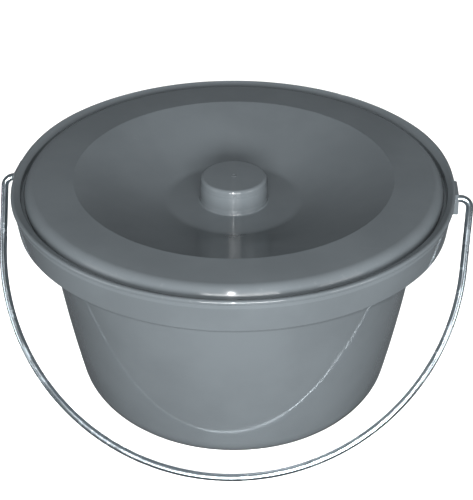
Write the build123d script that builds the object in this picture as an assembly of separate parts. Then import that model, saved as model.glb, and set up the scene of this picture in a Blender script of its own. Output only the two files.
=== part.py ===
from build123d import *
import os
from math import acos, cos, degrees, radians, sin, tan

# A commode pail with its lid on and its wire bail laid down in front. Millimetres, +Z up.
# The origin is on the floor, at the centre of the pail's base. The bail turns about X and
# lies towards -Y.

# ---- driving dimensions -------------------------------------------------------------------
pail_height = 162.0        # floor to the top of the rim
rim_radius = 150.0         # outside of the rim's lip
wall = 2.0                 # thickness of both mouldings
wire_radius = 2.5          # bail wire

# pail body
flange_reach = 21.3        # from the lip's outside in to the top of the body wall
knee_drop = 77.0           # below the rim, where the wall's two straight runs would meet
knee_in = 4.1              # how far the wall has come in at the knee
floor_in = 18.9            # how far the wall has come in at the floor
wall_round = 1150.0        # slow curve that joins the two runs, where they have room for it
base_round = 22.4          # corner between wall and base
flange_round = 3.0         # corner between wall and flange

# rim
seat_drop = 8.0            # lid seat below the top of the rim
seat_slope = 3.0           # height of the sloping face inside the lip
slope_reach = 5.0          # width of that face
lip_land = 0.8             # narrow flat on top of the lip
lip_height = 2.5           # height of the lip's outside
lip_overhang = 1.2         # lip beyond the skirt
lip_round = 1.2            # rounding of the lip's outer edge
skirt_drop = 22.8          # bottom of the skirt below the top of the rim
skirt_draft = 1.8          # how far the skirt comes in on the way down
skirt_round = 2.5          # corner between flange and skirt

# bail lugs on the skirt
pivot_drop = 12.0          # bail pivot below the top of the rim
lug_top_drop = 4.0         # top of a lug below the top of the rim
lug_height = 15.0
lug_width = 20.0
lug_proud = 1.0            # lug's outer face beyond the lip
lug_round = 1.2            # rounding of the lug's upright edges
pin_clearance = 0.25       # radial, between wire and hole
relief_half_angle = 20.0   # either side of a lug, where the lip draws in to meet it
relief_depth = 1.1         # how far the lip has drawn in at the lug

# lid
lid_gap = 2.0              # between the lid's edge and the wall round its seat
ring_rise = 1.5            # lid's flat ring above the top of the rim
roll_round = 7.4           # rolled-over outer edge
dish_radius = 107.8        # edge between the flat ring and the dish
dish_edge_round = 2.6
dish_depth = 22.0          # flat ring down to the flat middle of the dish
dish_floor_radius = 46.0   # flat middle of the dish
dish_floor_round = 60.0    # slow curve between the flat middle and the cone
knob_top_radius = 22.4
knob_base_radius = 23.5
knob_height = 17.8
knob_edge_round = 2.6
knob_root_round = 1.5

# bail
bail_clearance = 7.0       # from the lip's outside to the wire's centre, in the bow
bow_drop = 38.5            # from the pivot to the centre of the bow
arm_splay = 3.5            # degrees that each arm leans out towards its elbow
elbow_radius = 6.0         # to the wire's centre
pin_reach = 5.5            # wire end past the inside of the skirt

# ---- places worked out from them ----------------------------------------------------------
rim_z = pail_height
pivot_z = rim_z - pivot_drop
flange_z = rim_z - seat_drop - wall            # underside of the flange
body_top_radius = rim_radius - flange_reach
skirt_out_radius = rim_radius - lip_overhang   # at the top of the skirt
skirt_in_radius = skirt_out_radius - wall
lip_inner_radius = rim_radius - lip_round - lip_land
seat_wall_radius = lip_inner_radius - slope_reach
lid_radius = seat_wall_radius - lid_gap
lug_face = rim_radius + lug_proud
pin_end = skirt_in_radius - pin_reach
bow_radius = rim_radius + bail_clearance       # round part of the bail, to the wire's centre
bail_reach = bow_drop + bow_radius             # pivot to the far side of the bow
bail_tilt = degrees(acos((pivot_z - wire_radius) / bail_reach))   # from hanging straight down


def thick_path(points, radii):
    """Closed outline of a wall of the common thickness, to the left of a rounded path."""
    path = Wire(FilletPolyline(*points, radius=radii).edges())
    outline = path.offset_2d(wall, kind=Kind.INTERSECTION, side=Side.LEFT, closed=True)
    return Face(outline)


def turned(face):
    """Solid of revolution about Z of a face drawn with X as radius and Y as height."""
    return revolve(Plane.XZ * face, Axis.Z, 360)


def make_lip():
    """Ring above the lid seat: upright seat wall, sloping face, land and rounded outside."""
    top = rim_z
    lip_bottom = top - lip_height
    outline = [
        (seat_wall_radius, flange_z + wall / 2),
        (seat_wall_radius, top - seat_slope),
        (lip_inner_radius, top),
        (rim_radius, top),
        (rim_radius, lip_bottom),
        (skirt_out_radius, lip_bottom),
        (skirt_out_radius - wall / 2, flange_z + wall / 2),
    ]
    face = make_face(Polyline(*outline, close=True))
    edge_of_lip = [v for v in face.vertices() if v.X > rim_radius - 0.01 and v.Y > top - 0.01]
    return turned(fillet(edge_of_lip, lip_round))


def make_lug_relief():
    """Everything beyond the flatter arc that draws the lip in towards the lug on +X."""
    half = radians(relief_half_angle)
    arc_start = Vector(rim_radius * cos(half), rim_radius * sin(half))
    arc_middle = Vector(rim_radius - relief_depth, 0)
    sagitta = arc_middle.X - arc_start.X
    arc_radius = (arc_start.Y**2 + sagitta**2) / (2 * sagitta)
    beyond = Box(2 * lip_overhang + 2 * sagitta, 2 * arc_start.Y, lip_height + 2 * lip_round)
    beyond = Pos(rim_radius - sagitta + lip_overhang, 0, rim_z) * beyond
    keep = Cylinder(arc_radius, 2 * (lip_height + 2 * lip_round))
    return beyond - Pos(arc_middle.X - arc_radius, 0, rim_z) * keep


def make_lug():
    """Lug on +X: a block with rounded upright edges that grows out of the skirt's wall."""
    depth = lug_face - skirt_in_radius + lip_round * 4
    block = Box(depth, lug_width, lug_height)
    block = Pos(lug_face - depth / 2, 0, rim_z - lug_top_drop - lug_height / 2) * block
    front_edges = [e for e in block.edges().filter_by(Axis.Z) if e.center().X > lug_face - 0.01]
    block = fillet(front_edges, lug_round)
    skirt_bottom = rim_z - skirt_drop
    mid_top = skirt_in_radius + wall / 2
    mid_bottom = mid_top - skirt_draft
    inside = [(0, skirt_bottom), (mid_bottom, skirt_bottom), (mid_top, flange_z),
              (mid_top, rim_z), (0, rim_z)]
    return block - turned(make_face(Polyline(*inside, close=True)))


def corner_turn(a, b, c):
    """Angle, in radians, that a path turns through at b."""
    return radians((b - a).get_angle(c - b))


def widest_wall_round(path):
    """Largest curve that the body wall's two straight runs have room for."""
    _, corner, knee, top, flange_end, _ = [Vector(*p) for p in path]
    half_turn = corner_turn(corner, knee, top) / 2
    base_run = base_round * tan(corner_turn(Vector(0, 0), corner, knee) / 2)
    top_run = flange_round * tan(corner_turn(knee, top, flange_end) / 2)
    room = min((knee - corner).length - base_run, (top - knee).length - top_run)
    return 0.999 * room / tan(half_turn)


def make_pail():
    path = [
        (0, 0),
        (body_top_radius - floor_in, 0),
        (body_top_radius - knee_in, rim_z - knee_drop),
        (body_top_radius, flange_z),
        (skirt_in_radius, flange_z),
        (skirt_in_radius - skirt_draft, rim_z - skirt_drop),
    ]
    curve = min(wall_round, widest_wall_round(path))
    pail = turned(thick_path(path, [base_round, curve, flange_round, skirt_round]))
    relief = make_lug_relief()
    pail += make_lip() - relief - mirror(relief, Plane.YZ)
    lug = make_lug()
    pail += lug
    pail += mirror(lug, Plane.YZ)
    hole = Cylinder(wire_radius + pin_clearance, 4 * flange_reach, rotation=(0, 90, 0))
    inside_body = Cylinder(body_top_radius, 2 * rim_z)
    holes = Pos(rim_radius, 0, pivot_z) * hole + Pos(-rim_radius, 0, pivot_z) * hole
    return pail - (holes - inside_body)


def make_lid():
    ring_z = rim_z + ring_rise
    dish_z = ring_z - dish_depth
    path = [
        (lid_radius, rim_z - seat_drop),
        (lid_radius, ring_z),
        (dish_radius, ring_z),
        (dish_floor_radius, dish_z),
        (knob_base_radius, dish_z),
        (knob_top_radius, dish_z + knob_height),
        (0, dish_z + knob_height),
    ]
    radii = [roll_round, dish_edge_round, dish_floor_round, knob_root_round, knob_edge_round]
    return turned(thick_path(path, radii))


def make_bail():
    """Wire drawn hanging straight down in the XZ plane, swept, then laid forward."""
    splay = radians(arm_splay)
    tangent = Vector(bow_radius * cos(splay), -bow_drop - bow_radius * sin(splay))
    corner = Vector(tangent.X - tan(splay) * tangent.Y, 0)
    run_in = elbow_radius * tan((radians(90) + splay) / 2)
    arm_way = (tangent - corner).normalized()
    elbow_top = corner - Vector(run_in, 0)
    elbow_side = corner + arm_way * run_in
    pieces = []
    for side in (1, -1):
        flip = lambda p: (side * p.X, p.Y)
        pieces.append(Line((side * pin_end, 0), flip(elbow_top)))
        pieces.append(RadiusArc(flip(elbow_top), flip(elbow_side), side * elbow_radius))
        pieces.append(Line(flip(elbow_side), flip(tangent)))
    pieces.append(ThreePointArc((tangent.X, tangent.Y), (0, -bail_reach), (-tangent.X, tangent.Y)))
    path = Plane.XZ * Wire([e for p in pieces for e in p.edges()])
    start = Plane(origin=(pin_end, 0, 0), z_dir=(1, 0, 0))
    wire = sweep(start * Circle(wire_radius), path=path)
    return Pos(0, 0, pivot_z) * Rot(-bail_tilt, 0, 0) * wire


nodes = {"pail": make_pail(), "lid": make_lid(), "bail_handle": make_bail()}
os.makedirs("parts", exist_ok=True)
for name, shape in nodes.items():
    shape.label = name
    export_step(shape, f"parts/{name}.step")
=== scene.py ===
import bpy
import bmesh
import math
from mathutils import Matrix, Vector


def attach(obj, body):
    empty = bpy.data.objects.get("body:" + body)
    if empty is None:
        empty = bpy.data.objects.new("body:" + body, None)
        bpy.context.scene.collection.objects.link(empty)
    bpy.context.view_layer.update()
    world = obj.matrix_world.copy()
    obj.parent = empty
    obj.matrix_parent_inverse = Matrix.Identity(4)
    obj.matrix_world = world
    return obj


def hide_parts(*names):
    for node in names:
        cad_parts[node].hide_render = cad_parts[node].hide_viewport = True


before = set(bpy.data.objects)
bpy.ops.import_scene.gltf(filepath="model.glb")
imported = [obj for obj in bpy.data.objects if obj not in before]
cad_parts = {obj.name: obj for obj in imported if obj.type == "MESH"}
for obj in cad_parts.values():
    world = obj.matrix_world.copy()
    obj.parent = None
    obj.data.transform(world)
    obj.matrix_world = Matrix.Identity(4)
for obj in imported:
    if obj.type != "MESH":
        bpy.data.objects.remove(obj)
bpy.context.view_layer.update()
scene = bpy.context.scene
mm = 0.001
cm = 0.01
rimTop = 162.0  # height of the rim above the floor, in mm, as all the pieces' sizes are


# Points of an open line with its corners rounded; radii has one value for each inner corner
def roundedLine(points, radii, arcStep=7.0, longestStep=6.0, support=0.12):
    line = [Vector(point) for point in points]
    out = [tuple(points[0])]
    for before, corner, after, radius in zip(line, line[1:], line[2:], radii):
        into, away = (corner - before).normalized(), (after - corner).normalized()
        turn = math.acos(max(-1.0, min(1.0, into.dot(away))))
        if radius <= 0 or turn < 1e-5:  # sharp on purpose, or no corner at all
            out.append(tuple(corner))
            continue
        run = radius * math.tan(turn / 2)
        start = corner - into * run
        leftwards = 1 if into.x * away.y - into.y * away.x > 0 else -1
        centre = start + Vector((-into.y, into.x)) * radius * leftwards
        steps = max(2, math.ceil(math.degrees(turn) / arcStep), math.ceil(radius * turn / longestStep))
        # a point just past each end of the arc keeps the shading of the straight beside it flat
        if support < (corner - before).length - run and support < radius:
            out.append(tuple(start - into * support))
        arm = start - centre
        for k in range(steps + 1):
            spin = leftwards * turn * k / steps
            out.append((centre.x + arm.x * math.cos(spin) - arm.y * math.sin(spin),
                        centre.y + arm.x * math.sin(spin) + arm.y * math.cos(spin)))
        if support < (after - corner).length - run and support < radius:
            out.append(tuple(corner + away * (run + support)))
    out.append(tuple(points[-1]))
    return out


# An open line moved sideways to its left, mitred at its corners
def movedLeft(points, gap):
    line = [Vector(point) for point in points]
    lefts = []
    for start, end in zip(line, line[1:]):
        way = (end - start).normalized()
        lefts.append(Vector((-way.y, way.x)))
    return [tuple(point + (one + two) * (gap / (1 + one.dot(two))))
            for point, one, two in zip(line, lefts[:1] + lefts, lefts + lefts[-1:])]


def linked(name, mesh):
    obj = bpy.data.objects.new(name, mesh)
    scene.collection.objects.link(obj)
    return obj


# An object of vertices and edges only, from points in mm
def lineObject(name, points):
    mesh = bpy.data.meshes.new(name)
    mesh.from_pydata([tuple(value * mm for value in point) for point in points],
                     [(k, k + 1) for k in range(len(points) - 1)], [])
    return linked(name, mesh)


# A new object from a bmesh, its faces turned outwards
def objectFrom(name, bm):
    bmesh.ops.recalc_face_normals(bm, faces=bm.faces)
    mesh = bpy.data.meshes.new(name)
    bm.to_mesh(mesh)
    bm.free()
    return linked(name, mesh)


# The mesh that an object has once its modifiers have run
def finishedMesh(obj):
    return bpy.data.meshes.new_from_object(obj.evaluated_get(bpy.context.evaluated_depsgraph_get()))


# An empty Geometry Nodes tree with a geometry input, the named inputs and a geometry output
def newTree(name, sockets):
    tree = bpy.data.node_groups.new(name, "GeometryNodeTree")
    tree.interface.new_socket("Geometry", in_out="INPUT", socket_type="NodeSocketGeometry")
    for label, kind in sockets:
        tree.interface.new_socket(label, in_out="INPUT", socket_type=kind)
    tree.interface.new_socket("Geometry", in_out="OUTPUT", socket_type="NodeSocketGeometry")
    return tree


# Short ways to add and join nodes in one tree
class Wiring:
    def __init__(self, tree):
        self.tree = tree

    def node(self, kind, **settings):
        made = self.tree.nodes.new(kind)
        for key, value in settings.items():
            setattr(made, key, value)
        return made

    def feed(self, value, socket):
        if isinstance(value, bpy.types.NodeSocket):
            self.tree.links.new(value, socket)
        else:
            socket.default_value = value

    def math(self, operation, first, second=0.0, clamp=False):
        made = self.node("ShaderNodeMath", operation=operation, use_clamp=clamp)
        self.feed(first, made.inputs[0])
        self.feed(second, made.inputs[1])
        return made.outputs[0]

    def times(self, first, second):
        return self.math("MULTIPLY", first, second)

    # a smooth step: toLow below low, toHigh above high
    def ease(self, value, low, high, toLow=0.0, toHigh=1.0):
        made = self.node("ShaderNodeMapRange", interpolation_type="SMOOTHSTEP")
        for item, slot in zip((value, low, high, toLow, toHigh), range(5)):
            self.feed(item, made.inputs[slot])
        return made.outputs[0]


# Runs a tree on an object and gives back a plain mesh object in its place
def runTree(obj, tree, values):
    modifier = obj.modifiers.new(tree.name, "NODES")
    modifier.node_group = tree
    for item in tree.interface.items_tree:
        if item.in_out == "INPUT" and item.name in values:
            modifier[item.identifier] = values[item.name]
    made = finishedMesh(obj)
    name = obj.name
    bpy.data.objects.remove(obj)
    return linked(name, made)


# Flips a closed mesh whose faces point inwards
def turnOutwards(obj):
    bm = bmesh.new()
    bm.from_mesh(obj.data)
    if bm.calc_volume(signed=True) < 0:
        bmesh.ops.reverse_faces(bm, faces=bm.faces)
    bm.to_mesh(obj.data)
    bm.free()


def meshReport(obj):
    bm = bmesh.new()
    bm.from_mesh(obj.data)
    openEdges = sum(1 for edge in bm.edges if len(edge.link_faces) != 2)
    triangles = sum(len(face.verts) - 2 for face in bm.faces)
    volume = bm.calc_volume(signed=True) / cm ** 3
    print(f"{obj.name}: {triangles} triangles, {openEdges} open edges, {volume:.1f} cm3")
    bm.free()


# Turns a section round the Z axis. Near +X and -X its outside is drawn in, as at a lug
def turnedTree():
    weldGap = 0.005 * mm  # closes the seam and the points on the axis
    tree = newTree("turnedSection", [
        ("Steps", "NodeSocketInt"), ("Draw In", "NodeSocketFloat"), ("Half Angle", "NodeSocketFloat"),
        ("Still Radius", "NodeSocketFloat"), ("Full Radius", "NodeSocketFloat"),
        ("Material", "NodeSocketMaterial")])
    net = Wiring(tree)
    given = net.node("NodeGroupInput")
    # a row for each point of the section, a column for each step round and one to meet the first
    count = net.node("GeometryNodeAttributeDomainSize", component="MESH")
    net.feed(given.outputs["Geometry"], count.inputs["Geometry"])
    columns = net.math("ADD", given.outputs["Steps"], 1.0)
    grid = net.node("GeometryNodeMeshGrid")
    net.feed(count.outputs["Point Count"], grid.inputs["Vertices X"])
    net.feed(columns, grid.inputs["Vertices Y"])
    index = net.node("GeometryNodeInputIndex").outputs[0]
    along = net.math("FLOOR", net.math("DIVIDE", net.math("ADD", index, 0.5), columns))
    around = net.math("SUBTRACT", index, net.times(along, columns))
    sample = net.node("GeometryNodeSampleIndex", data_type="FLOAT_VECTOR", domain="POINT")
    net.feed(given.outputs["Geometry"], sample.inputs["Geometry"])
    net.feed(net.node("GeometryNodeInputPosition").outputs[0], sample.inputs["Value"])
    net.feed(along, sample.inputs["Index"])
    section = net.node("ShaderNodeSeparateXYZ")
    net.feed(sample.outputs["Value"], section.inputs[0])
    angle = net.times(net.math("DIVIDE", around, given.outputs["Steps"]), 2 * math.pi)
    cosine, sine = net.math("COSINE", angle), net.math("SINE", angle)
    # how far the point is drawn in: most at the lugs and on the outside
    offLug = net.math("ARCCOSINE", net.math("MINIMUM", net.math("ABSOLUTE", cosine), 1.0))
    nearLug = net.ease(offLug, 0.0, given.outputs["Half Angle"], 1.0, 0.0)
    outside = net.ease(section.outputs["X"], given.outputs["Still Radius"], given.outputs["Full Radius"])
    pull = net.times(given.outputs["Draw In"], net.times(nearLug, outside))
    radius = net.math("SUBTRACT", section.outputs["X"], pull)
    place = net.node("ShaderNodeCombineXYZ")
    net.feed(net.times(radius, cosine), place.inputs[0])
    net.feed(net.times(radius, sine), place.inputs[1])
    net.feed(section.outputs["Z"], place.inputs[2])
    move = net.node("GeometryNodeSetPosition")
    net.feed(grid.outputs["Mesh"], move.inputs["Geometry"])
    net.feed(place.outputs[0], move.inputs["Position"])
    weld = net.node("GeometryNodeMergeByDistance")
    net.feed(move.outputs[0], weld.inputs["Geometry"])
    net.feed(weldGap, weld.inputs["Distance"])
    finishTree(net, weld.outputs[0], given)
    return tree


# Sweeps a round wire along a line and stores how far along and how far round each point is
def bentWireTree():
    tree = newTree("bentWire", [
        ("Wire Radius", "NodeSocketFloat"), ("Sides", "NodeSocketInt"), ("Material", "NodeSocketMaterial")])
    net = Wiring(tree)
    given = net.node("NodeGroupInput")
    line = net.node("GeometryNodeMeshToCurve")
    net.feed(given.outputs["Geometry"], line.inputs[0])
    ring = net.node("GeometryNodeCurvePrimitiveCircle", mode="RADIUS")
    net.feed(given.outputs["Sides"], ring.inputs["Resolution"])
    net.feed(given.outputs["Wire Radius"], ring.inputs["Radius"])
    kept = []
    for source, output in ((line.outputs[0], "Length"), (ring.outputs["Curve"], "Factor")):
        keep = net.node("GeometryNodeCaptureAttribute", domain="POINT")
        keep.capture_items.new("FLOAT", output)
        net.feed(source, keep.inputs["Geometry"])
        net.feed(net.node("GeometryNodeSplineParameter").outputs[output], keep.inputs[1])
        kept.append(keep)
    sweep = net.node("GeometryNodeCurveToMesh")
    net.feed(kept[0].outputs["Geometry"], sweep.inputs["Curve"])
    net.feed(kept[1].outputs["Geometry"], sweep.inputs["Profile Curve"])
    net.feed(True, sweep.inputs["Fill Caps"])
    shape = sweep.outputs[0]
    for keep, label in zip(kept, ("wireAlong", "wireRound")):
        store = net.node("GeometryNodeStoreNamedAttribute", data_type="FLOAT", domain="POINT")
        net.feed(label, store.inputs["Name"])
        net.feed(shape, store.inputs["Geometry"])
        net.feed(keep.outputs[1], store.inputs["Value"])
        shape = store.outputs[0]
    finishTree(net, shape, given)
    return tree


# Smooth shading, Realize Instances, Set Material and the tree's output
def finishTree(net, shape, given):
    smooth = net.node("GeometryNodeSetShadeSmooth")
    net.feed(shape, smooth.inputs["Geometry"])
    real = net.node("GeometryNodeRealizeInstances")
    net.feed(smooth.outputs[0], real.inputs[0])
    paint = net.node("GeometryNodeSetMaterial")
    net.feed(real.outputs[0], paint.inputs["Geometry"])
    net.feed(given.outputs["Material"], paint.inputs["Material"])
    net.feed(paint.outputs[0], net.node("NodeGroupOutput").inputs[0])


def newMaterial(name):
    material = bpy.data.materials.new(name)
    material.use_nodes = True
    material.node_tree.nodes.clear()
    net = Wiring(material.node_tree)
    shader = net.node("ShaderNodeBsdfPrincipled")
    net.feed(shader.outputs[0], net.node("ShaderNodeOutputMaterial").inputs[0])
    return material, net, shader


def noise(net, where, scale, detail=2.0, rough=0.5):
    made = net.node("ShaderNodeTexNoise")
    net.feed(where, made.inputs["Vector"])
    net.feed(scale, made.inputs["Scale"])
    net.feed(detail, made.inputs["Detail"])
    net.feed(rough, made.inputs["Roughness"])
    return made.outputs[0]


def mixColour(net, share, first, second):
    made = net.node("ShaderNodeMix", data_type="RGBA")
    net.feed(share, made.inputs[0])
    net.feed(first, made.inputs[6])  # 6 and 7 are the colour sockets
    net.feed(second, made.inputs[7])
    return made.outputs[2]


def scaled(net, where, sizes, turn=(0, 0, 0)):
    made = net.node("ShaderNodeMapping")
    net.feed(where, made.inputs["Vector"])
    made.inputs["Rotation"].default_value = turn
    made.inputs["Scale"].default_value = sizes
    return made.outputs[0]


def addBump(net, shader, height, strength, distance):
    bump = net.node("ShaderNodeBump")
    bump.inputs["Strength"].default_value = strength
    bump.inputs["Distance"].default_value = distance
    net.feed(height, bump.inputs["Height"])
    net.feed(bump.outputs[0], shader.inputs["Normal"])


mouldedLook = {
    "colour": (0.112, 0.127, 0.137, 1),
    "paler": (0.125, 0.142, 0.153, 1),
    "rubbed": (0.19, 0.205, 0.215, 1),
    "gloss": 0.5,
    "ior": 1.48,
    "mottleScale": 14.0,
    "scratch": 0.12,
    "scratchScale": (12, 420, 420),
    "scratchPatch": (9, 9, 9),
    "scratchTurns": ((0.5, 0.775), (2.1, 0.785)),  # direction, and how rare the scratches are
    "scratchDepth": 0.05,
    "rub": 0.16,
    "rubScale": 260.0,
    "markRoughness": 0.30,
    "hazeScale": 22.0,
    "ringScale": 900.0,
    "peel": 0.05,
    "peelScale": 700.0,
    "wave": 0.2,
    "waveScale": 30.0,
    "bumpStrength": 0.35,
    "bumpHeight": 0.2,
}
pailLook = dict(mouldedLook, roughness=0.07, stretch=0.0)
lidLook = dict(mouldedLook, roughness=0.165, stretch=1.0)


# Glossy moulded plastic with melt mottle, orange peel, wiping rings, scratches and scuffed edges.
# wearAt lists the rubbed edges: along "r" or "z", where the middle is, and the half-width
def mouldedPlastic(name, look, wearAt):
    material, net, shader = newMaterial(name)
    here = net.node("ShaderNodeTexCoord").outputs["Object"]
    split = net.node("ShaderNodeSeparateXYZ")
    net.feed(here, split.inputs[0])
    x, y, z = split.outputs
    radius = net.math("SQRT", net.math("ADD", net.times(x, x), net.times(y, y)))
    # slow mottle left by the melt
    mottle = net.ease(noise(net, here, look["mottleScale"], 4.0, 0.55), 0.35, 0.65)
    colour = mixColour(net, mottle, look["colour"], look["paler"])
    # hairline scratches in two directions
    scratches = 0.0
    for turn, rare in look["scratchTurns"]:
        strokes = noise(net, scaled(net, here, look["scratchScale"], (turn * 0.3, turn, turn)), 1.0, 1.0)
        patches = noise(net, scaled(net, here, look["scratchPatch"], (turn, 0, 0)), 1.0, 1.0)
        found = net.times(net.ease(strokes, rare - 0.03, rare + 0.02), net.ease(patches, 0.48, 0.62))
        scratches = net.math("MAXIMUM", scratches, found)
    # rubbed edges
    worn = 0.0
    for axis, middle, halfWidth in wearAt:
        value = radius if axis == "r" else z
        off = net.math("ABSOLUTE", net.math("SUBTRACT", value, middle * mm))
        band = net.ease(off, 0.0, halfWidth * mm, 1.0, 0.0)
        spots = net.ease(noise(net, here, look["rubScale"], 3.0, 0.65), 0.56, 0.70)
        worn = net.math("MAXIMUM", worn, net.times(band, spots))
    marks = net.math("MAXIMUM", net.times(scratches, look["scratch"]), net.times(worn, look["rub"]))
    net.feed(mixColour(net, marks, colour, look["rubbed"]), shader.inputs["Base Color"])
    # roughness: handling haze, wiping rings and the marks
    haze = net.ease(noise(net, here, look["hazeScale"], 5.0, 0.6), 0.35, 0.70, -0.025, 0.05)
    turned = net.node("ShaderNodeCombineXYZ")
    net.feed(net.times(radius, look["ringScale"]), turned.inputs[0])
    net.feed(net.times(z, look["ringScale"]), turned.inputs[1])
    rings = net.ease(noise(net, turned.outputs[0], 1.0, 2.0), 0.4, 0.7, -0.004, 0.008)
    rough = net.math("ADD", net.math("ADD", haze, rings), look["roughness"])
    rough = net.math("ADD", rough, net.times(marks, look["markRoughness"]), clamp=True)
    net.feed(rough, shader.inputs["Roughness"])
    # bump: orange peel, a slow waviness and the scratches
    peel = noise(net, here, look["peelScale"], 2.0)
    wave = noise(net, here, look["waveScale"], 1.0)
    height = net.math("ADD", net.times(peel, look["peel"]), net.times(wave, look["wave"]))
    height = net.math("SUBTRACT", height, net.times(scratches, look["scratchDepth"]))
    addBump(net, shader, height, look["bumpStrength"], look["bumpHeight"] * mm)
    if look["stretch"]:  # fine rings from the turned mould stretch the gloss across them
        aroundAxis = net.node("ShaderNodeTangent", direction_type="RADIAL", axis="Z")
        net.feed(aroundAxis.outputs[0], shader.inputs["Tangent"])
        shader.inputs["Anisotropic"].default_value = look["stretch"]
        shader.inputs["Anisotropic Rotation"].default_value = 0.25
    shader.inputs["IOR"].default_value = look["ior"]
    shader.inputs["Specular IOR Level"].default_value = look["gloss"]
    return material


zincLook = {
    "colour": (0.66, 0.74, 0.79, 1),
    "dull": (0.50, 0.57, 0.62, 1),
    "roughness": 0.18,
    "drawScale": (1, 26, 26),
    "drawLength": 60.0,
    "patchScale": 70.0,
    "patchColour": 0.7,
    "patchRoughness": 0.12,
    "nickScale": 900.0,
    "nickColour": 0.5,
    "nickDepth": 0.6,
    "bumpStrength": 0.15,
    "bumpHeight": 0.1,
}


# Bright zinc on drawn steel wire: draw lines along it, dull patches, small nicks
def zincWire(name, look):
    material, net, shader = newMaterial(name)
    here = net.node("ShaderNodeTexCoord").outputs["Object"]
    along = net.node("ShaderNodeAttribute", attribute_name="wireAlong").outputs["Fac"]
    around = net.node("ShaderNodeAttribute", attribute_name="wireRound").outputs["Fac"]
    place = net.node("ShaderNodeCombineXYZ")
    angle = net.times(around, 2 * math.pi)
    net.feed(net.times(along, look["drawLength"]), place.inputs[0])
    net.feed(net.math("SINE", angle), place.inputs[1])
    net.feed(net.math("COSINE", angle), place.inputs[2])
    lines = noise(net, scaled(net, place.outputs[0], look["drawScale"]), 1.0, 3.0, 0.6)
    patches = net.ease(noise(net, here, look["patchScale"], 4.0, 0.6), 0.42, 0.68)
    nicks = net.ease(noise(net, here, look["nickScale"], 2.0, 0.5), 0.66, 0.74)
    tone = mixColour(net, net.times(patches, look["patchColour"]), look["colour"], look["dull"])
    tone = mixColour(net, net.times(nicks, look["nickColour"]), tone, look["dull"])
    net.feed(tone, shader.inputs["Base Color"])
    shader.inputs["Metallic"].default_value = 1.0
    rough = net.math("ADD", net.times(patches, look["patchRoughness"]), look["roughness"])
    streaks = net.times(net.math("SUBTRACT", lines, 0.5), look["patchRoughness"])
    net.feed(net.math("ADD", rough, streaks, clamp=True), shader.inputs["Roughness"])
    height = net.math("SUBTRACT", lines, net.times(nicks, look["nickDepth"]))
    addBump(net, shader, height, look["bumpStrength"], look["bumpHeight"] * mm)
    return material


pailSizes = {
    "wall": 2.0,
    "bodyTopRadius": 128.7,
    "kneeRadius": 124.6,
    "kneeDrop": 77.0,
    "floorRadius": 109.8,
    "baseRound": 22.4,
    "wallRound": 1150.0,
    "ledgeDrop": 8.0,
    "ledgeRound": 3.0,
    "ledgeRoundInside": 5.0,
    "lipRadius": 150.0,
    "lipInner": 148.0,
    "lipHeight": 2.5,
    "lipSlope": 3.0,
    "seatRadius": 143.0,
    "skirtRadius": 148.8,
    "skirtFoot": 147.0,
    "skirtDrop": 22.8,
    "grooveDepth": 0.6,
    "grooveTop": 1.1,
    "grooveFoot": 3.3,
    "drawIn": 2.1,
    "drawHalfAngle": 32.0,
    "stillRadius": 143.6,
    "steps": 288,
    "sharpAngle": 32.0,
    "wear": [("z", 1.0, 6.0), ("z", rimTop - 1.0, 1.6), ("z", rimTop - 22.8, 1.2)],  # base, lip, skirt foot
}

lugSizes = {
    "innerFace": 146.4,
    "topFace": 150.5,
    "footFace": 151.6,
    "halfWidth": 9.6,
    "topDrop": 4.0,
    "footDrop": 19.0,
    "edgeRound": 0.9,
    "pivotDrop": 12.0,
    "holeRadius": 2.75,
    "holeFrom": 136.0,
    "holeTo": 156.0,
    "sinkDepth": 0.7,
    "sinkPast": 0.4,
    "sinkSpread": 0.9,
    "holeSides": 40,
}


# Up the outside from the base, over the rim, into the lid's seat and down the inside
def pailSection(sizes):
    wall, seat, lipFoot = sizes["wall"], rimTop - sizes["ledgeDrop"], rimTop - sizes["lipHeight"]
    skirt, skirtFoot = sizes["skirtRadius"], rimTop - sizes["skirtDrop"]
    groove = skirt - sizes["grooveDepth"]
    outer = [(0, 0), (sizes["floorRadius"], 0), (sizes["kneeRadius"], rimTop - sizes["kneeDrop"]),
             (sizes["bodyTopRadius"], seat - wall), (sizes["lipRadius"], seat - wall)]
    inner = movedLeft(outer, wall)
    # the rim's corners: radius, height, rounding
    rim = [(skirt - wall, seat - wall, 2.5),
           (sizes["skirtFoot"] - wall, skirtFoot, 0.5),
           (sizes["skirtFoot"], skirtFoot, 0.35),
           (skirt, lipFoot - sizes["grooveFoot"], 0.6),
           (groove, lipFoot - sizes["grooveTop"], 0.4),
           (groove, lipFoot, 0.2),
           (sizes["lipRadius"], lipFoot, 0.4),
           (sizes["lipRadius"], rimTop, 1.3),
           (sizes["lipInner"], rimTop, 0.8),
           (sizes["seatRadius"], rimTop - sizes["lipSlope"], 1.2),
           (sizes["seatRadius"], seat, 0.6)]
    points = outer[:4] + [corner[:2] for corner in rim] + inner[3::-1]
    radii = [sizes["baseRound"], sizes["wallRound"], sizes["ledgeRound"]] + [corner[2] for corner in rim]
    radii += [sizes["ledgeRoundInside"], sizes["wallRound"], sizes["baseRound"] - wall]
    return roundedLine(points, radii)


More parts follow.
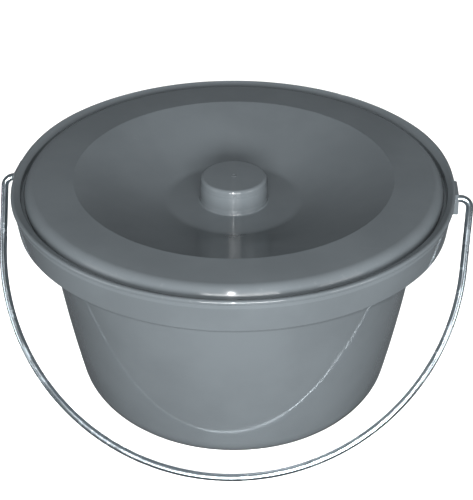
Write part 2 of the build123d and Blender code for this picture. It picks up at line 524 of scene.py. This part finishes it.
# One lug: a block that leans out a little towards its foot, its outer edges rounded
def lugBlock(sizes, side):
    bm = bmesh.new()
    corners = []
    inside = sizes["innerFace"]
    for drop, face in ((sizes["footDrop"], sizes["footFace"]), (sizes["topDrop"], sizes["topFace"])):
        for x, y in ((inside, -1), (face, -1), (face, 1), (inside, 1)):
            place = (side * x * mm, y * sizes["halfWidth"] * mm, (rimTop - drop) * mm)
            corners.append(bm.verts.new(place))
    low, high = corners[:4], corners[4:]
    bm.faces.new(low)
    bm.faces.new(high)
    for k in range(4):
        bm.faces.new((low[k], low[(k + 1) % 4], high[(k + 1) % 4], high[k]))
    bmesh.ops.recalc_face_normals(bm, faces=bm.faces)
    outer = [edge for edge in bm.edges if all(abs(vert.co.x) > (inside + 1) * mm for vert in edge.verts)]
    bmesh.ops.bevel(bm, geom=outer, offset=sizes["edgeRound"] * mm, segments=4, profile=0.5, affect="EDGES")
    return objectFrom("lugBlock", bm)


# A tool for one lug's hole, with a small countersink at the lug's face
def pinHole(sizes, side):
    bm = bmesh.new()
    rings = []
    face, sides, height = sizes["footFace"], sizes["holeSides"], rimTop - sizes["pivotDrop"]
    stations = ((sizes["holeFrom"], 0.0), (face - sizes["sinkDepth"], 0.0),
                (face + sizes["sinkPast"], sizes["sinkSpread"]), (sizes["holeTo"], sizes["sinkSpread"]))
    for x, wider in stations:
        radius = (sizes["holeRadius"] + wider) * mm
        ring = []
        for k in range(sides):
            angle = 2 * math.pi * k / sides
            ring.append(bm.verts.new((side * x * mm, radius * math.cos(angle),
                                      height * mm + radius * math.sin(angle))))
        rings.append(ring)
    for one, two in zip(rings, rings[1:]):
        for k in range(sides):
            following = (k + 1) % sides
            bm.faces.new((one[k], one[following], two[following], two[k]))
    bm.faces.new(rings[0])
    bm.faces.new(rings[-1])
    return objectFrom("pinHole", bm)


# Adds a tool to an object or cuts it away, exactly, and removes the tool
def joinShapes(obj, tool, operation):
    change = obj.modifiers.new("join", "BOOLEAN")
    change.object = tool
    change.operation = operation
    change.solver = "EXACT"
    made = finishedMesh(obj)
    obj.modifiers.remove(change)
    obj.data = made
    bpy.data.objects.remove(tool)


def makePail(material):
    sizes = pailSizes
    pail = lineObject("pailMoulding", [(radius, 0, height) for radius, height in pailSection(sizes)])
    pail = runTree(pail, turnedTree(), {
        "Steps": sizes["steps"], "Draw In": sizes["drawIn"] * mm,
        "Half Angle": math.radians(sizes["drawHalfAngle"]), "Still Radius": sizes["stillRadius"] * mm,
        "Full Radius": sizes["skirtRadius"] * mm, "Material": material})
    turnOutwards(pail)
    for side in (1, -1):
        joinShapes(pail, lugBlock(lugSizes, side), "UNION")
        joinShapes(pail, pinHole(lugSizes, side), "DIFFERENCE")
    pail.data.materials.clear()
    pail.data.materials.append(material)
    pail.data.shade_smooth()
    pail.data.set_sharp_from_angle(angle=math.radians(sizes["sharpAngle"]))
    return pail


lidSizes = {
    "wall": 2.0,
    "radius": 141.0,
    "ringRise": 1.5,
    "ringFlatRadius": 127.0,
    "ringRound": 200.0,
    "rollRound": 7.4,
    "edgeRound": 0.5,
    "dishRadius": 107.8,
    "dishEdgeRise": 1.25,
    "dishEdgeRound": 1.1,
    "dishEdgeRoundBelow": 1.6,
    "dishDepth": 20.5,
    "dishFloorRadius": 46.0,
    "dishFloorRound": 14.0,
    "knobBase": 23.5,
    "knobTop": 22.4,
    "knobRise": 17.8,
    "knobEdge": 2.2,
    "knobEdgeBelow": 0.6,
    "knobFoot": 1.2,
    "knobFootBelow": 3.2,
    "knobLines": (15.8, 14.4, 12.5, 3.6),
    "lineDepth": 0.04,
    "lineHalfWidth": 0.3,
    "lineFlat": 0.1,
    "markRadii": (1.0, 1.25, 1.6, 1.85),
    "markRise": 0.2,
    "markRound": 0.1,
    "steps": 256,
    "sharpAngle": 40.0,
    "wear": [("r", 107.6, 1.2), ("r", 22.0, 1.0), ("r", 138.6, 1.6)],  # dish edge, knob edge, roll
}


# From the middle of the knob's top, out over the lid's face, round its edge and back underneath
def lidSection(sizes):
    wall, ring, floor = sizes["wall"], rimTop + sizes["ringRise"], rimTop - sizes["dishDepth"]
    top, seat = floor + sizes["knobRise"], rimTop - pailSizes["ledgeDrop"]
    face = [(0, top), (sizes["knobTop"], top), (sizes["knobBase"], floor), (sizes["dishFloorRadius"], floor),
            (sizes["dishRadius"], rimTop + sizes["dishEdgeRise"]), (sizes["ringFlatRadius"], ring),
            (sizes["radius"], ring), (sizes["radius"], seat)]
    back = movedLeft(face, -wall)
    # shallow moulding lines round the knob
    lean = (sizes["knobBase"] - sizes["knobTop"]) / sizes["knobRise"]
    half, flat, depth = sizes["lineHalfWidth"], sizes["lineFlat"], sizes["lineDepth"]
    knobSide = []
    for height in sizes["knobLines"]:
        radius = sizes["knobBase"] - lean * height
        for up, inwards in ((half, 0.0), (flat, depth), (-flat, depth), (-half, 0.0)):
            knobSide.append((radius - inwards - lean * up, floor + height + up))
    # the injection mark is a small raised ring
    mark = list(zip(sizes["markRadii"], (top, top + sizes["markRise"], top + sizes["markRise"], top)))
    points = [(0, top)] + mark + [face[1]] + knobSide + face[2:]
    points += [(back[-1][0], seat)] + back[-2:0:-1] + [back[0]]
    radii = [sizes["markRound"]] * len(mark) + [sizes["knobEdge"]] + [0] * len(knobSide)
    radii += [sizes["knobFoot"], sizes["dishFloorRound"], sizes["dishEdgeRound"], sizes["ringRound"],
              sizes["rollRound"], sizes["edgeRound"], sizes["edgeRound"], sizes["rollRound"] - wall,
              sizes["ringRound"], sizes["dishEdgeRoundBelow"], sizes["dishFloorRound"] + wall,
              sizes["knobFootBelow"], sizes["knobEdgeBelow"]]
    return roundedLine(points, radii, support=0.08)


def makeLid(material):
    sizes = lidSizes
    lid = lineObject("lidMoulding", [(radius, 0, height) for radius, height in lidSection(sizes)])
    lid = runTree(lid, turnedTree(), {  # the lid has no lugs, so nothing is drawn in
        "Steps": sizes["steps"], "Draw In": 0.0, "Half Angle": 1.0, "Still Radius": 0.0,
        "Full Radius": 1.0, "Material": material})
    turnOutwards(lid)
    lid.data.set_sharp_from_angle(angle=math.radians(sizes["sharpAngle"]))
    return lid


bailSizes = {
    "wireRadius": 2.5,
    "bowClearance": 7.0,
    "bowDrop": 38.5,
    "bowSteps": 90,
    "splay": 3.5,
    "elbowRadius": 6.0,
    "pinEnd": 141.3,
    "endRound": 0.45,
    "sides": 24,
    "sharpAngle": 40.0,
}


# The wire's centre line, drawn hanging down from its pivots and then laid forward onto the floor
def bailLine(sizes):
    bow, drop = pailSizes["lipRadius"] + sizes["bowClearance"], sizes["bowDrop"]
    splay = math.radians(sizes["splay"])
    touch = Vector((bow * math.cos(splay), drop + bow * math.sin(splay)))
    elbow = (touch.x + math.tan(splay) * touch.y, 0)
    arm = roundedLine([(sizes["pinEnd"], 0), elbow, tuple(touch)], [sizes["elbowRadius"]],
                      arcStep=6.0, support=0.5)
    curve = []
    for k in range(1, sizes["bowSteps"]):
        angle = splay + (math.pi - 2 * splay) * k / sizes["bowSteps"]
        curve.append((bow * math.cos(angle), drop + bow * math.sin(angle)))
    flat = arm + curve + [(-across, down) for across, down in reversed(arm)]
    pivot = rimTop - lugSizes["pivotDrop"]
    tilt = math.acos((pivot - sizes["wireRadius"]) / (drop + bow))
    return [(across, -down * math.sin(tilt), pivot - down * math.cos(tilt)) for across, down in flat]


def makeBail(material):
    sizes = bailSizes
    bail = lineObject("bailWire", bailLine(sizes))
    bail = runTree(bail, bentWireTree(), {
        "Wire Radius": sizes["wireRadius"] * mm, "Sides": sizes["sides"], "Material": material})
    turnOutwards(bail)
    # the two end caps are the only faces with many sides; their rims are rounded
    bm = bmesh.new()
    bm.from_mesh(bail.data)
    caps = [face for face in bm.faces if len(face.verts) == sizes["sides"]]
    rims = list({edge for face in caps for edge in face.edges})
    bmesh.ops.bevel(bm, geom=rims, offset=sizes["endRound"] * mm, segments=3, profile=0.5, affect="EDGES")
    bm.to_mesh(bail.data)
    bm.free()
    bail.data.shade_smooth()
    bail.data.set_sharp_from_angle(angle=math.radians(sizes["sharpAngle"]))
    return bail


pailPlastic = mouldedPlastic("pailPlastic", pailLook, pailSizes["wear"])
lidPlastic = mouldedPlastic("lidPlastic", lidLook, lidSizes["wear"])
bailZinc = zincWire("bailZinc", zincLook)
print("materials made")

pail = makePail(pailPlastic)
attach(pail, "pail")
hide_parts("pail")
meshReport(pail)

lid = makeLid(lidPlastic)
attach(lid, "lid")
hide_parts("lid")
meshReport(lid)

bail = makeBail(bailZinc)
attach(bail, "bail")
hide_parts("bail_handle")
meshReport(bail)


studio = {  # in metres and watts
    "floorReach": 8.0,
    "floorColour": (0.88, 0.88, 0.88, 1),
    "floorRoughness": 0.9,
    "floorGloss": 0.1,
    "floorWash": 2.8,
    "worldColour": (0.9, 0.95, 1.0, 1),
    "worldStrength": 0.12,
    "backdropColour": (0.86, 0.865, 0.87, 1),
    "lights": [
        # name, place, aims at, size across, size up, watts, shows as gloss
        ("frontKey", (0.26, -1.68, 0.60), (0, 0, 0.08), 1.10, 0.50, 47.0, True),
        ("leftSoft", (-1.7, -1.0, 0.55), (0, 0, 0.08), 0.9, 0.9, 6.0, True),
        ("rightSoft", (1.5, -0.9, 0.5), (0, 0, 0.08), 0.7, 0.7, 6.0, True),
        ("topSoft", (0.0, -0.7, 2.6), (0, 0, 0), 1.6, 1.0, 1.5, True),
        ("backLeft", (-1.1, 1.9, 0.09), (0, 0, 0.08), 0.9, 0.14, 40.0, False),
        ("backRight", (1.2, 1.8, 0.09), (0, 0, 0.08), 0.9, 0.14, 36.0, False),
        ("cameraFlash", (0.05, -0.66, 0.56), (0, 0, 0.1), 0.012, 0.012, 3.7, True),
    ],
}


# A pale floor that shows, but sends no light back up onto the object
def makeFloor(sizes):
    reach = sizes["floorReach"]
    mesh = bpy.data.meshes.new("studioFloor")
    mesh.from_pydata([(-reach, -reach, 0), (reach, -reach, 0), (reach, reach, 0), (-reach, reach, 0)],
                     [], [(0, 1, 2, 3)])
    floor = linked("studioFloor", mesh)
    material, net, shader = newMaterial("paleFloor")
    shader.inputs["Base Color"].default_value = sizes["floorColour"]
    shader.inputs["Roughness"].default_value = sizes["floorRoughness"]
    shader.inputs["Specular IOR Level"].default_value = sizes["floorGloss"]
    mesh.materials.append(material)
    floor.visible_diffuse = False
    floor.visible_glossy = False
    return floor


def makeLights(sizes):
    for name, place, aim, across, up, watts, gloss in sizes["lights"]:
        light = bpy.data.lights.new(name, "AREA")
        light.shape = "RECTANGLE"
        light.size, light.size_y, light.energy = across, up, watts
        lamp = linked(name, light)
        lamp.location = place
        lamp.rotation_euler = (Vector(aim) - Vector(place)).to_track_quat("-Z", "Y").to_euler()
        lamp.visible_glossy = gloss


# A wash from above that lights the floor alone, so it stays pale to its far edge
def makeFloorWash(sizes, floor):
    floorOnly = bpy.data.collections.new("floorOnly")
    floorOnly.objects.link(floor)
    wash = bpy.data.lights.new("floorWash", "SUN")
    wash.energy = sizes["floorWash"]
    lamp = linked("floorWash", wash)
    lamp.light_linking.receiver_collection = floorOnly
    lamp.light_linking.blocker_collection = floorOnly


# A dim room for light and gloss, and a pale backdrop to look at
def makeWorld(sizes):
    world = bpy.data.worlds.new("studioWorld")
    world.use_nodes = True
    world.node_tree.nodes.clear()
    net = Wiring(world.node_tree)
    pick = net.node("ShaderNodeMixShader")
    net.feed(net.node("ShaderNodeLightPath").outputs["Is Camera Ray"], pick.inputs[0])
    room = (sizes["worldColour"], sizes["worldStrength"])
    backdrop = (sizes["backdropColour"], 1.0)
    for (colour, strength), slot in ((room, 1), (backdrop, 2)):
        shade = net.node("ShaderNodeBackground")
        net.feed(colour, shade.inputs["Color"])
        net.feed(strength, shade.inputs["Strength"])
        net.feed(shade.outputs[0], pick.inputs[slot])
    net.feed(pick.outputs[0], net.node("ShaderNodeOutputWorld").inputs[0])
    scene.world = world


cameraSizes = {
    "turn": 5.6,
    "downward": 34.89,
    "distance": 625.3,
    "aboveRim": 345.3,
    "lens": 75.6,
    "sensor": 36.0,
    "shift": (0.0054, 0.064),
    "nearest": 20.0,
}


def makeCamera(sizes):
    data = bpy.data.cameras.new("camera")
    data.lens, data.sensor_width = sizes["lens"], sizes["sensor"]
    data.shift_x, data.shift_y = sizes["shift"]
    data.clip_start = sizes["nearest"] * mm
    camera = linked("camera", data)
    turn = math.radians(sizes["turn"])
    camera.location = (sizes["distance"] * math.sin(turn) * mm, -sizes["distance"] * math.cos(turn) * mm,
                       (rimTop + sizes["aboveRim"]) * mm)
    camera.rotation_euler = (math.radians(90 - sizes["downward"]), 0, turn)
    scene.camera = camera


makeLights(studio)
makeFloorWash(studio, makeFloor(studio))
makeWorld(studio)
makeCamera(cameraSizes)
scene.view_settings.view_transform = "Standard"
scene.view_settings.look = "None"
print("floor, lights and camera made")
